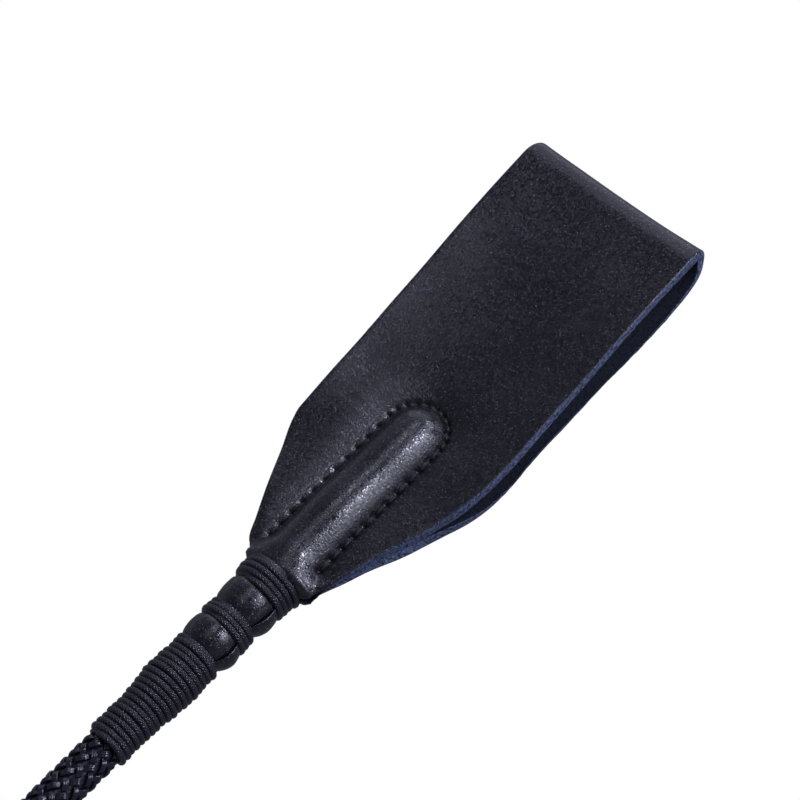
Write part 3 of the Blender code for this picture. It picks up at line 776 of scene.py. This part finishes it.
def stitch_marks():
    """Places of the needle holes along the U seam, in plan."""
    run = RIDGE_CENTRE_END - SEAM_START
    count = round(run / STITCH_PITCH)
    left = [(SEAM_START + run * i / count, SEAM_HALF_WIDTH) for i in range(count)]
    arc = round(pi * SEAM_HALF_WIDTH / ARC_STITCH_PITCH)
    turn = [(RIDGE_CENTRE_END + SEAM_HALF_WIDTH * cos(a), SEAM_HALF_WIDTH * sin(a))
            for a in pi / 2 - pi * np.arange(arc + 1) / arc]
    return np.array(left + turn + [(x, -y) for x, y in reversed(left)])


def keeper_faces(middle, plan, xs, run, layer):
    """Grain-side and flesh-side surfaces of the leather."""
    across = np.gradient(middle, axis=1)
    ahead = np.gradient(middle, axis=0)
    normal = unit(np.cross(across, ahead))
    thickness = np.where(xs < 8, read(TAIL_THICKNESS, np.minimum(xs, 8.0)), LEATHER)
    x, y = plan[..., 0], plan[..., 1]
    sewn = (x > 0) & (x < 60)
    from_seam = seam_distance(x, y)
    groove = 0.42 * np.exp(-(from_seam / 0.85)**2) + 0.85 * np.exp(-(from_seam / 4.0)**2)
    for mark in stitch_marks():
        groove += 0.75 * np.exp(-((x - mark[0])**2 + (y - mark[1])**2) / 0.6**2)
    relief = ripple(run[:, None], y, 5, 0.10, (9.0, 30.0)) * smooth(x / 12)
    half = thickness[:, None] / 2
    width = np.abs(y).max(axis=1, keepdims=True)
    near_rim = np.clip((np.abs(y) - width + 4.5) / 4.5, 0.0, 1.0)**2
    skived = read(SKIVED, np.where(layer > 0, x[:, 0], 2 * FOLD_X - x[:, 0]))[:, None]
    skived = skived * near_rim
    outer = middle + normal * (half - groove * sewn + relief)[..., None]
    inner = middle - normal * (half - skived * thickness[:, None] / LEATHER
                               - 0.3 * relief)[..., None]
    return outer, inner, normal, thickness


def keeper(mats):
    middle, plan, xs, run, layer = keeper_middle()
    outer, inner, normal, thickness = keeper_faces(middle, plan, xs, run, layer)
    corner = CORNER_RADIUS * np.minimum(thickness / LEATHER + 0.2, 1.0)[:, None]
    rims = []
    for column, inward in ((-1, -2), (0, 1)):
        outward = unit(middle[:, column] - middle[:, inward])
        outward -= normal[:, column] * np.sum(outward * normal[:, column], 1, keepdims=True)
        outward = unit(outward)
        rim = []
        for angle in radians(65), radians(35), radians(8):
            rim.append(outer[:, column] + outward * corner * cos(angle)
                       - normal[:, column] * corner * (1 - sin(angle)))
        wander = ripple(run, run * 0, 3 + column, 0.05, (1.5, 6.0))[:, None]
        centre = (outer[:, column] + inner[:, column]) / 2
        span = outer[:, column] - inner[:, column]
        for share in 0.17, -0.17:
            rim.append(centre + span * share + outward * (corner * 1.02 + wander))
        for angle in radians(8), radians(45):
            rim.append(inner[:, column] + outward * corner * cos(angle)
                       + normal[:, column] * corner * (1 - sin(angle)))
        rims.append(rim)
    right, left = rims
    ring = np.concatenate([outer, np.stack(right, 1), inner[:, ::-1],
                           np.stack(left[::-1], 1)], axis=1)
    steps = np.linalg.norm(np.diff(np.concatenate([ring, ring[:, :1]], 1), axis=1), axis=-1)
    around = np.concatenate([np.zeros((len(ring), 1)), np.cumsum(steps, axis=1)], 1)
    columns = outer.shape[1]
    centred = around - around[:, [columns // 2]]
    grain, flesh, cut = range(3)
    slots = np.full(ring.shape[1], flesh)
    slots[:columns + 1] = slots[-1] = grain
    slots[columns + 1:columns + 6] = slots[-6:-1] = cut
    points = ring.copy()
    points[..., 0] += NECK / MM
    shape = Shape().add(points * MM, run * MM, centred * MM, slots)
    piece = shape.build("keeper", [mats["grain"], mats["flesh"], mats["cut"]],
                        "keeper_leather")
    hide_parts("keeper_front_leaf", "keeper_rear_leaf", "keeper_loop")
    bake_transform(piece)
    keeper_stitches(mats, outer, normal, plan, xs)


def keeper_stitches(mats, outer, normal, plan, xs):
    """Short raised stitches along the seam, sunk at both ends in their holes."""
    marks = stitch_marks()
    tip = int(np.argmax(xs))
    for name, rows, seed in (("keeper_front_stitching", slice(0, tip), 1),
                             ("keeper_rear_stitching", slice(tip, len(xs)), 2)):
        surface, out, place = outer[rows], normal[rows], plan[rows]
        rng = np.random.default_rng(seed)
        shape = Shape()
        for first, second in zip(marks, marks[1:]):
            slant = rng.uniform(-0.12, 0.12, 2)
            gap = 0.10
            path, ups = [], []
            for t in np.linspace(0.0, 1.0, 9):
                spot = first + (second - first) * (gap + (1 - 2 * gap) * t)
                spot = spot + np.array([0.0, slant[0] + (slant[1] - slant[0]) * t])
                near = (place[..., 0] - spot[0])**2 + (place[..., 1] - spot[1])**2
                at = np.unravel_index(np.argsort(near, axis=None)[:4], near.shape)
                weight = 1 / (near[at] + 0.02)
                weight /= weight.sum()
                base = (surface[at] * weight[:, None]).sum(0)
                up = unit((out[at] * weight[:, None]).sum(0))
                arch = 0.85 * (1 - abs(2 * t - 1)**3) - 0.68
                path.append(base + up * arch)
                ups.append(up)
            path = np.array(path)
            path[:, 0] += NECK / MM
            radius = THREAD_RADIUS * rng.uniform(0.95, 1.08)
            shape.add(tube_rings(path * MM, radius, 10, 0.9, np.array(ups)))
        piece = shape.build(name + "_thread", [mats["thread"]], "thread")
        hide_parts(name)
        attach(piece, "shaft")


# ---------------------------------------------------------------- whippings and braid

LAP_STEPS = 110
CORD_SIDES = 12
WANDER = 0.045 * MM             # how far the cord strays from an even winding
KEEPER_LEAN = 1.1 * MM
KEEPER_FLARE = 0.5 * MM
FLARED_TURNS, FLARE_RISE = 3.2, 2.6     # in pitches from the keeper's end
WINDING_START = radians(72)
LAST_LAP_SHORTFALL = 0.02
STEP_START, STEP_SHARE = 0.35, 0.4      # of a lap, where the cord steps to the next turn
TUCK_ANGLE, TUCK_DEPTH = 0.35, 1.3      # the depth is in cord radii
END_ROOM = 1.02                         # in cord radii
CORD_SWELL, CORD_FLATNESS = 1.03, 0.97


def cad_points(name):
    return np.array([v.co for v in frame["nodes"][name].data.vertices])


def outer_radius(name, low, high):
    """Largest distance from the shaft's axis of a CAD node between two stations."""
    points = cad_points(name)
    inside = points[(points[:, 0] >= low) & (points[:, 0] <= high)]
    return float(np.hypot(inside[:, 1], inside[:, 2]).max())


def outer_profile(name):
    """Distances along the shaft and the CAD node's outer radius at each."""
    points = cad_points(name)
    places = np.unique(np.round(points[:, 0], 5))
    radii = np.hypot(points[:, 1], points[:, 2])
    return places, np.array([radii[np.abs(points[:, 0] - x) < 0.5 * MM].max()
                             for x in places])


def whipping(name, mats, seed, lean=0.0, flare=0.0):
    """A cord wound tightly round the shaft, its two ends tucked under.

    lean draws the front turns back on the +Y side, and flare widens them on the -Y side
    where they pass over the broad part of the keeper.
    """
    low, high = (corner.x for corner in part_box(name))
    turns = round((high - low) / (2 * CORD_RADIUS))
    pitch = (high - low) / turns
    crests = np.array([outer_radius(name, low + turn * pitch, low + (turn + 1) * pitch)
                       for turn in range(turns)]) - CORD_RADIUS
    # The middle of the cord has one turn less to travel than the band is long
    laps = turns - 1
    angle = np.linspace(0.0, 2 * pi * (laps - LAST_LAP_SHORTFALL), LAP_STEPS * laps)
    share = angle / angle[-1]
    rng = np.random.default_rng(seed)
    wander = np.zeros((2, len(angle)))
    for _ in range(6):
        rate, phase = rng.uniform(0.13, 1.9), rng.uniform(0, 2 * pi, 2)
        wander += np.sin(angle * rate + phase[:, None])
    wander *= WANDER
    tuck = np.exp(-angle / TUCK_ANGLE) + np.exp(-(angle[-1] - angle) / TUCK_ANGLE)
    # Each turn lies flat round the shaft and steps over to the next on its far side
    lap, turn_count = np.modf(angle / (2 * pi))
    step = smooth((lap - STEP_START) / STEP_SHARE) + turn_count
    x = (low + CORD_RADIUS * END_ROOM
         + (high - low - 2 * END_ROOM * CORD_RADIUS) * step / laps)
    x = np.clip(x + wander[0], low + CORD_RADIUS, high - CORD_RADIUS)
    radius = np.interp(share * laps, np.arange(turns), crests)
    radius += wander[1] - TUCK_DEPTH * CORD_RADIUS * tuck
    turn = angle + WINDING_START
    toward = np.cos(turn)
    x = x - lean * (x - low) / (high - low) * np.maximum(toward, 0.0)**2
    front = smooth((x - high + FLARED_TURNS * pitch) / (FLARE_RISE * pitch))
    radius = radius + flare * front * np.maximum(-toward, 0.0)**2
    path = round_shaft(x, radius, turn)
    ups = round_shaft(np.zeros_like(turn), 1.0, turn)
    # A little wider than the pitch and flattened, so that the turns press on each other
    shape = Shape().add(tube_rings(path, CORD_RADIUS * CORD_SWELL, CORD_SIDES,
                                   CORD_FLATNESS, ups))
    sleeve = [(low + (turn + 0.5) * pitch, crest - 0.1 * CORD_RADIUS)
              for turn, crest in enumerate(crests)]
    shape.add(lathe_rings(sleeve, 48))
    piece = shape.build(name + "_cord", [mats["cord"]], "cord")
    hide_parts(name)
    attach(piece, "shaft")


BRAID_PITCH = 30.9 * MM
STRANDS_EACH_WAY, FILAMENTS = 8, 3
STRAND_WIDTH, STRAND_THICK = 1.32 * MM, 0.70 * MM
WEAVE_HEIGHT = 0.44 * MM
BRAID_STEP = 0.46 * MM


def braid(mats):
    """Sixteen strands of three filaments, woven one over one round the rod."""
    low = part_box("grip_nose_whipping")[1].x - 2.5 * MM
    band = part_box("whipping_rear")[0].x
    high = band + 3.0 * MM
    strands, filaments = STRANDS_EACH_WAY, FILAMENTS
    width, thick = STRAND_WIDTH, STRAND_THICK
    x = np.arange(low, high, BRAID_STEP)
    # The strands keep their height right up to the first turn, which presses them in
    surface = np.interp(x - 1.1 * MM, *outer_profile("shaft_braid"))
    # Under the last whipping the strands are pressed flat on the rod
    rod = np.interp(x, *outer_profile("shaft_core"))
    weave = WEAVE_HEIGHT * (1 - 0.8 * smooth((x - band + 0.3 * MM) / (2.0 * MM)))
    centre = np.maximum(surface - weave - thick / 2, rod + 0.5 * weave + thick / 2)
    rate = 2 * pi / BRAID_PITCH
    slope = np.arctan(rate * centre)
    crossing = 2 * rate * x / (2 * pi / strands)
    lobes = []
    step = width / filaments
    for f in range(filaments):
        for a in radians(150), radians(90), radians(30):
            lobes.append(((f + 0.5) * step - width / 2 + step / 2 * cos(a),
                          thick / 2 * sin(a)))
    lobes += [(width / 2 * 0.96, -thick / 2), (-width / 2 * 0.96, -thick / 2)]
    across, height = np.array(lobes).T
    rng = np.random.default_rng(11)
    shape = Shape()
    for lay in (1, -1):         # right-handed strands, then left-handed
        for strand in range(strands):
            uneven = 0.03 * MM * np.sin(x / (7.0 * MM) + rng.uniform(0, 2 * pi))
            wave = np.cos(pi * crossing)
            wave = lay * np.sign(wave) * np.abs(wave)**0.75
            radius = centre + weave * wave + uneven
            lean_in = (0.86 + 0.14 * wave)[:, None]
            turn = lay * rate * x + 2 * pi * strand / strands
            # The wave of the strand leans its filaments up and down at each crossing
            out = radius[:, None] + height
            around = (turn[:, None] + np.cos(slope)[:, None] * across * lean_in
                      / radius[:, None])
            place = x[:, None] - lay * np.sin(slope)[:, None] * across * lean_in
            shape.add(round_shaft(place, out, around), x / np.cos(slope))
    under = np.maximum(centre - 0.4 * thick, rod + 0.1 * MM)
    # The braid's core runs on inside the keeper to the end of the CAD braid
    core = list(zip(x[::2], under[::2])) + [(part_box("shaft_braid")[1].x, under[-1])]
    shape.add(lathe_rings(core, 32))
    piece = shape.build("shaft_braid_strands", [mats["braid"]], "braid")
    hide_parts("shaft_braid")
    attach(piece, "shaft")


# ---------------------------------------------------------------- grip

COVER_THICKNESS = 1.35 * MM
GRIP_STITCH_PITCH = 3.6 * MM


def grip_cover(mats):
    """Leather sleeve with a closed seam along its underside."""
    low, high = (corner.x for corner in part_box("grip_cover"))
    xs = np.linspace(low, high, 150)
    radius = np.interp(xs, *outer_profile("grip_cover"))
    sides = 120
    angle = 2 * pi * np.arange(sides) / sides + pi
    seam = np.abs((angle - 1.5 * pi + pi) % (2 * pi) - pi)
    arc = radius[:, None] * seam
    lips = 0.30 * MM * np.exp(-((arc - 1.2 * MM) / (1.0 * MM))**2)
    groove = 0.55 * MM * np.exp(-(arc / (0.45 * MM))**2)
    swell = ripple(xs[:, None] / MM, (radius[:, None] * angle) / MM, 9, 0.07, (12.0, 40.0)) * MM
    r = radius[:, None] + lips - groove - 0.1 * MM + swell
    place = np.repeat(xs[:, None], sides, 1)
    rings = round_shaft(place, r, angle)
    bore = radius[::-1][::10, None] - COVER_THICKNESS
    inner = round_shaft(place[::-1][::10], bore, angle)
    shape = Shape().add(np.concatenate([rings, inner]), joined=True)
    piece = shape.build("grip_cover_leather", [mats["grip_grain"]], "grip_leather")
    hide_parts("grip_cover")
    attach(piece, "shaft")
    grip_stitches(mats, xs, radius)


def grip_stitches(mats, xs, radius):
    """Slanted stitches that draw the two lips of the grip seam together."""
    low, high = (corner.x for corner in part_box("grip_seam_thread"))
    count = int((high - low) / GRIP_STITCH_PITCH)
    half = 1.5 * MM
    shape = Shape()
    for i in range(count):
        x = low + (i + 0.5) * (high - low) / count
        r = float(np.interp(x, xs, radius))
        t = np.linspace(-1.0, 1.0, 11)
        turn = -pi / 2 + t * half / r
        lift = r + 0.42 * MM - 0.75 * MM * t**6
        shape.add(tube_rings(round_shaft(x + t * 1.1 * MM, lift, turn), THREAD_RADIUS, 10))
    piece = shape.build("grip_seam_stitches", [mats["thread"]], "thread")
    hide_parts("grip_seam_thread")
    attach(piece, "shaft")


# ---------------------------------------------------------------- pommel and wrist strap

FIT = 0.3 * MM
ROD_BORE = 2.8 * MM
POMMEL_SIDES = 96
STRAP_THICK = 2.2 * MM
STRAP_WIDTH = 10.0 * MM
STRAP_CORNER = 0.55 * MM
STRAP_TILT = radians(3.0)
PARTING_REACH = 44.0 * MM       # from the hinge to where the two legs part
LOOP_END_RADIUS = 24.0 * MM
SLOT_SQUARENESS = 8.0
AXIS_RADIUS = 0.001 * MM        # stands for zero, where a turned outline meets its axis


def slot_ring(x, half_y, half_z):
    """A rounded rectangle round the axis, its points at even angles."""
    points = []
    for a in 2 * pi * np.arange(POMMEL_SIDES) / POMMEL_SIDES:
        c, s = cos(a), sin(a)
        r = (abs(c / half_y)**SLOT_SQUARENESS
             + abs(s / half_z)**SLOT_SQUARENESS)**(-1 / SLOT_SQUARENESS)
        points.append((x, r * c, r * s))
    return points


def pommel(mats):
    """Moulded knob with a slot for the strap in its flat face."""
    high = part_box("pommel")[1]
    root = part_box("strap_root")
    half_y, half_z = root[1].y + FIT, root[1].z + FIT
    depth = root[1].x + 1 * MM
    radius = high.y
    length = high.x
    neck = outer_radius("pommel", length - 1 * MM, length + 1 * MM)
    # The slot, narrowing a little inwards and rounded at its mouth
    rings = [slot_ring(depth, half_y * 0.98, half_z * 0.98)]
    for inward, outward in ((0.6, 0.0), (0.15, 0.15), (0.0, 0.6)):
        rings.append(slot_ring(inward * MM, half_y + outward * MM, half_z + outward * MM))
    groove = 0.45 * MM
    outline = [(0.0, radius - 4.5 * MM), (0.0, radius - 2.4 * MM),
               (1.5 * MM, radius - 0.8 * MM), (4.0 * MM, radius),
               (length - 10.5 * MM, radius), (length - 8 * MM, radius - 0.8 * MM),
               (length - 5 * MM, neck + groove * 0.2), (length - 4 * MM, neck),
               (length - 3.4 * MM, neck - groove), (length - 2.8 * MM, neck),
               (length, neck), (length, ROD_BORE)]
    outside = lathe_rings(rounded(outline, 0.9 * MM, 4), POMMEL_SIDES)
    shape = Shape().add(np.concatenate([np.array(rings), outside]))
    piece = shape.build("pommel_knob", [mats["rubber"]], "rubber")
    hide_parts("pommel")
    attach(piece, "shaft")


def steel_turned(name, outline, reach, sides, axis, middle, mats):
    """A turned steel piece, its outline's corners rounded by reach."""
    rings = lathe_rings(rounded(outline, reach, 3), sides, axis)
    rings += np.array(middle)
    return Shape().add(rings).build(name, [mats["steel"]], "steel")


def pin_and_rivet(mats):
    """Domed steel pin through the pommel and domed rivet through the strap."""
    low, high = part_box("pommel_pin")
    radius = (high.x - low.x) / 2
    top = high.z
    dome = 0.4 * MM
    outline = [(-top, AXIS_RADIUS), (-top, radius * 0.7), (-top + dome, radius),
               (top - dome, radius), (top, radius * 0.7), (top, AXIS_RADIUS)]
    piece = steel_turned("pommel_pin_steel", outline, 0.25 * MM, 32, "z",
                         ((low.x + high.x) / 2, 0.0, 0.0), mats)
    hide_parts("pommel_pin")
    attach(piece, "shaft")

    low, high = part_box("strap_rivet")
    head = (high.x - low.x) / 2
    top = high.y
    stem = 1.0 * MM
    under = top - 1.0 * MM
    half = [(under, stem), (under, head * 0.97), (under + 0.25 * MM, head),
            (under + 0.45 * MM, head * 0.93), (top - 0.2 * MM, head * 0.62),
            (top, head * 0.25), (top, AXIS_RADIUS)]
    outline = [(-y, r) for y, r in reversed(half)] + half
    piece = steel_turned("strap_rivet_steel", outline, 0.2 * MM, 48, "y",
                         ((low.x + high.x) / 2, 0.0, (low.z + high.z) / 2), mats)
    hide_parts("strap_rivet")
    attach(piece, "wrist_loop")


def belt_rings(path, across):
    """Rings of the strap along a path: across is the direction of its width."""
    tangent = unit(np.gradient(path, axis=0))
    out = unit(np.cross(tangent, across))
    section = rounded_rectangle(STRAP_WIDTH / 2, STRAP_THICK / 2, STRAP_CORNER, 5)
    # Extra points along the two broad faces keep the shading even
    broad = np.linspace(0.0, 1.0, 8)[1:-1, None]
    top = section[4] + (section[5] - section[4]) * broad
    bottom = section[14] + (section[15] - section[14]) * broad
    section = np.concatenate([section[:5], top, section[5:15], bottom, section[15:]])
    return (path[:, None, :] + across[:, None, :] * section[None, :, :1]
            + out[:, None, :] * section[None, :, 1:])


def strap_path(hinge_x):
    """Middle line of the strap laid flat: out of the slot, round the loop and back."""
    root_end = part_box("strap_root")[1].x
    leg = (STRAP_THICK + FIT) / 2
    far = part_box("wrist_strap")[0].x / cos(STRAP_TILT)
    centre_x = far + LOOP_END_RADIUS + STRAP_THICK / 2
    parting = hinge_x - PARTING_REACH
    upper = [(root_end, leg)] + [(x, leg) for x in np.linspace(root_end, parting, 28)[1:]]
    for share in np.linspace(0.0, 1.0, 36)[1:-1]:
        upper.append((parting + (centre_x - parting) * share,
                      leg + (LOOP_END_RADIUS - leg) * smooth(share)))
    for angle in np.linspace(pi / 2, pi, 28):
        upper.append((centre_x + LOOP_END_RADIUS * cos(angle), LOOP_END_RADIUS * sin(angle)))
    lower = [(x, -y) for x, y in reversed(upper[:-1])]
    return np.array(upper + lower)


def wrist_strap(mats):
    """Strap doubled back on itself; it leaves the slot straight and tilts down."""
    joint = [j for j in frame["joints"] if j["name"] == "strap_swing"][0]
    hinge_x = joint["pos_m"][0]
    x, y = strap_path(hinge_x).T
    beyond = np.minimum(x - hinge_x, 0.0)
    path = np.stack([np.where(x > hinge_x, x, hinge_x + beyond * cos(STRAP_TILT)), y,
                     beyond * sin(STRAP_TILT)], axis=1)
    tilt = STRAP_TILT * smooth(-beyond / (4 * MM))
    across = np.stack([-np.sin(tilt), np.zeros_like(x), np.cos(tilt)], axis=1)
    piece = Shape().add(belt_rings(path, across)).build(
        "wrist_strap_leather", [mats["strap_grain"]], "strap_leather")
    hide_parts("wrist_strap", "strap_root")
    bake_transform(piece)


def strap_slider(mats):
    """Leather keeper band round both legs of the strap."""
    low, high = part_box("strap_slider")
    middle = (low + high) / 2
    wall, width = 1.8 * MM, 8.0 * MM
    c, s = cos(STRAP_TILT), sin(STRAP_TILT)
    half_y = high.y - wall / 2
    half_z = (high.z - low.z - width * s) / (2 * c) - wall / 2
    loop = rounded_rectangle(half_y, half_z, 1.4 * MM, 9)
    path = np.column_stack([np.zeros(len(loop)), loop])
    along = np.array([1.0, 0.0, 0.0])
    out = np.cross(unit(np.roll(path, -1, 0) - np.roll(path, 1, 0)), along)
    section = rounded_rectangle(width / 2, wall / 2, 0.5 * MM, 4)
    rings = (path[:, None, :] + along * section[None, :, :1]
             + out[:, None, :] * section[None, :, 1:])[::-1]
    tilted = rings.copy()
    tilted[..., 0] = rings[..., 0] * c - rings[..., 2] * s + middle.x
    tilted[..., 2] = rings[..., 0] * s + rings[..., 2] * c + middle.z
    piece = Shape().add(tilted, joined=True).build(
        "strap_slider_leather", [mats["strap_grain"]], "strap_leather")
    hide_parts("strap_slider")
    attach(piece, "slider")


def inner_parts(mats):
    """Give the hidden CAD parts their finished materials."""
    for name, mat in (("shaft_core", "fibreglass"), ("shaft_tip_cap", "rubber"),
                      ("grip_core", "foam")):
        item = frame["nodes"][name]
        for slot in item.material_slots:
            slot.material = mats[mat]


def main():
    bpy.context.scene.view_settings.view_transform = "Standard"
    make_camera()
    make_world()
    make_floor()
    make_lights()
    mats = make_materials()
    keeper(mats)
    for seed, name in enumerate(("whipping_front", "whipping_middle", "whipping_rear",
                                 "grip_rear_whipping", "grip_front_whipping",
                                 "grip_nose_whipping")):
        at_keeper = name == "whipping_front"
        whipping(name, mats, seed + 20, lean=KEEPER_LEAN * at_keeper,
                 flare=KEEPER_FLARE * at_keeper)
    braid(mats)
    grip_cover(mats)
    pommel(mats)
    pin_and_rivet(mats)
    wrist_strap(mats)
    strap_slider(mats)
    inner_parts(mats)


main()
